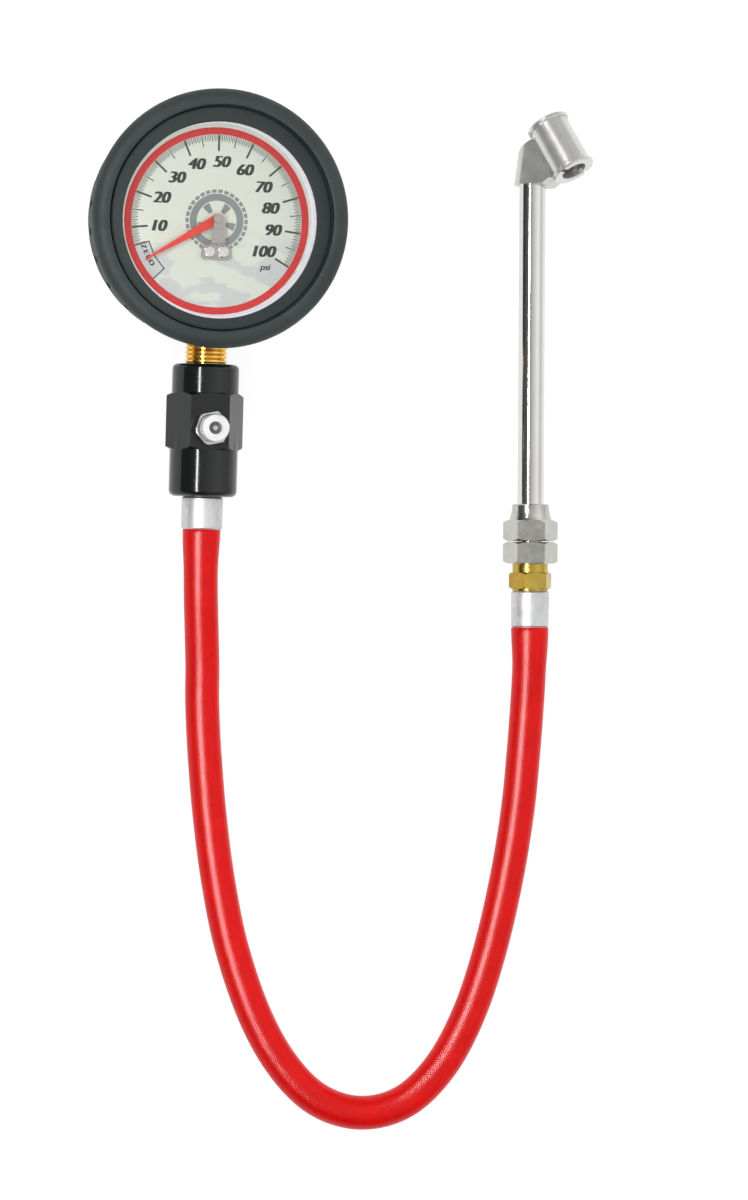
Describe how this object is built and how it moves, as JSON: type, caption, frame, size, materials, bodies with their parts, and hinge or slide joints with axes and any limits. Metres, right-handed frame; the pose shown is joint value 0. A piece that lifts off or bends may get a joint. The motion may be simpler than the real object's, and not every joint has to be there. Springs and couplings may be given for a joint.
{
  "type": "tire pressure gauge",
  "caption": "Dial tire pressure gauge in a rubber boot, with a bleed valve, a short air hose and a swivelling dual foot chuck on a straight tube.",
  "frame": {"origin": "middle of the boot's flat back, under the dial's axis, on the surface that the tool lies on", "axes": "+Z out of the dial, +Y toward twelve o'clock on the dial and away from the stem, +X toward the chuck"},
  "size_m": [0.169, 0.3405, 0.038],
  "materials": {
    "boot_rubber": "matte slate grey rubber",
    "case_steel": "black painted steel",
    "spring_steel": "bright spring steel",
    "black_rubber": "black nitrile rubber",
    "clear_lens": "clear glass lens",
    "white_ring": "off-white plastic ring",
    "dial_face": "pale greenish white paint",
    "bridge_steel": "plain bright steel",
    "needle_red": "orange red paint",
    "movement_brass": "machined brass",
    "stem_brass": "machined brass with pipe thread",
    "black_metal": "glossy black anodised finish",
    "chrome_steel": "bright chrome plate",
    "ferrule_metal": "bright crimped aluminium, scuffed",
    "hose_red": "red rubber air hose with a cloth wrap texture",
    "nickel": "nickel plated brass"
  },
  "bodies": {
    "gauge": {"rubber_boot": "boot_rubber", "case_cup": "case_steel", "snap_ring": "spring_steel", "lens_gasket": "black_rubber", "lens": "clear_lens", "spacer_ring": "white_ring", "dial_plate": "dial_face", "pointer_bridge": "bridge_steel", "bridge_screws": "bridge_steel", "movement_front_plate": "movement_brass", "movement_back_plate": "movement_brass", "movement_pillars": "movement_brass", "movement_screws": "bridge_steel", "hairspring": "spring_steel", "bourdon_tube": "movement_brass", "tip_piece": "movement_brass", "stem_socket": "stem_brass", "valve_body": "black_metal", "bleed_bush": "chrome_steel", "button_spring": "spring_steel", "barb_gauge_side": "stem_brass", "hose_tail_gauge_side": "hose_red", "ferrule_gauge_side": "ferrule_metal", "hose": "hose_red", "ferrule_chuck_side": "ferrule_metal", "hose_tail_chuck_side": "hose_red", "hose_fitting": "stem_brass", "swivel_body": "nickel"},
    "needle": {"pointer": "needle_red", "pinion_arbor": "movement_brass"},
    "sector": {"sector_gear": "movement_brass", "sector_arbor": "bridge_steel"},
    "drag_link": {"link": "bridge_steel", "link_pins": "movement_brass"},
    "button": {"bleed_button": "chrome_steel", "bleed_poppet": "movement_brass", "bleed_seal": "black_rubber"},
    "chuck": {"swivel_seal": "black_rubber", "swivel_clip": "spring_steel", "tube_nut": "nickel", "chuck_tube": "chrome_steel", "chuck_head": "chrome_steel", "chuck_barrel": "chrome_steel", "foot_ring_front": "nickel", "foot_ring_rear": "nickel", "foot_seal_front": "black_rubber", "foot_seal_rear": "black_rubber", "check_spring_front": "spring_steel", "check_spring_rear": "spring_steel"},
    "plunger_front": {"foot_plunger_front": "movement_brass"},
    "plunger_rear": {"foot_plunger_rear": "movement_brass"}
  },
  "joints": [
    {"name": "sector_turn", "type": "hinge", "parent": "gauge", "child": "sector", "pos_m": [0.0065, -0.01285, 0.0222], "axis": [0, 0, 1], "range_deg": [0, 48.4]},
    {"name": "needle_turn", "type": "hinge", "parent": "gauge", "child": "needle", "pos_m": [0, 0, 0.029], "axis": [0, 0, -1], "range_deg": [0, 242]},
    {"name": "link_turn", "type": "hinge", "parent": "sector", "child": "drag_link", "pos_m": [0.00445, -0.01741, 0.0232], "axis": [0, 0, -1], "range_deg": [0, 48.4]},
    {"name": "bleed_press", "type": "slide", "parent": "gauge", "child": "button", "axis": [0, 0, -1], "range_m": [0, 0.002], "stiffness_N_per_m": 1500, "springref_m": -0.001, "deforming": ["button_spring"]},
    {"name": "chuck_swivel", "type": "hinge", "parent": "gauge", "child": "chuck", "pos_m": [0.11145, -0.10471, 0.0086], "axis": [-0.0209, 0.9998, 0], "continuous": true},
    {"name": "depressor_front", "type": "slide", "parent": "chuck", "child": "plunger_front", "axis": [-0.3962, 0.816, -0.4209], "range_m": [0, 0.0012], "stiffness_N_per_m": 900, "springref_m": -0.0006, "deforming": ["check_spring_front"]},
    {"name": "depressor_rear", "type": "slide", "parent": "chuck", "child": "plunger_rear", "axis": [0.3962, -0.816, 0.4209], "range_m": [0, 0.0012], "stiffness_N_per_m": 900, "springref_m": -0.0006, "deforming": ["check_spring_rear"]}
  ],
  "couplings": [
    {"joint": "needle_turn", "follows": "sector_turn", "ratio": 5},
    {"joint": "link_turn", "follows": "sector_turn", "ratio": 1}
  ]
}
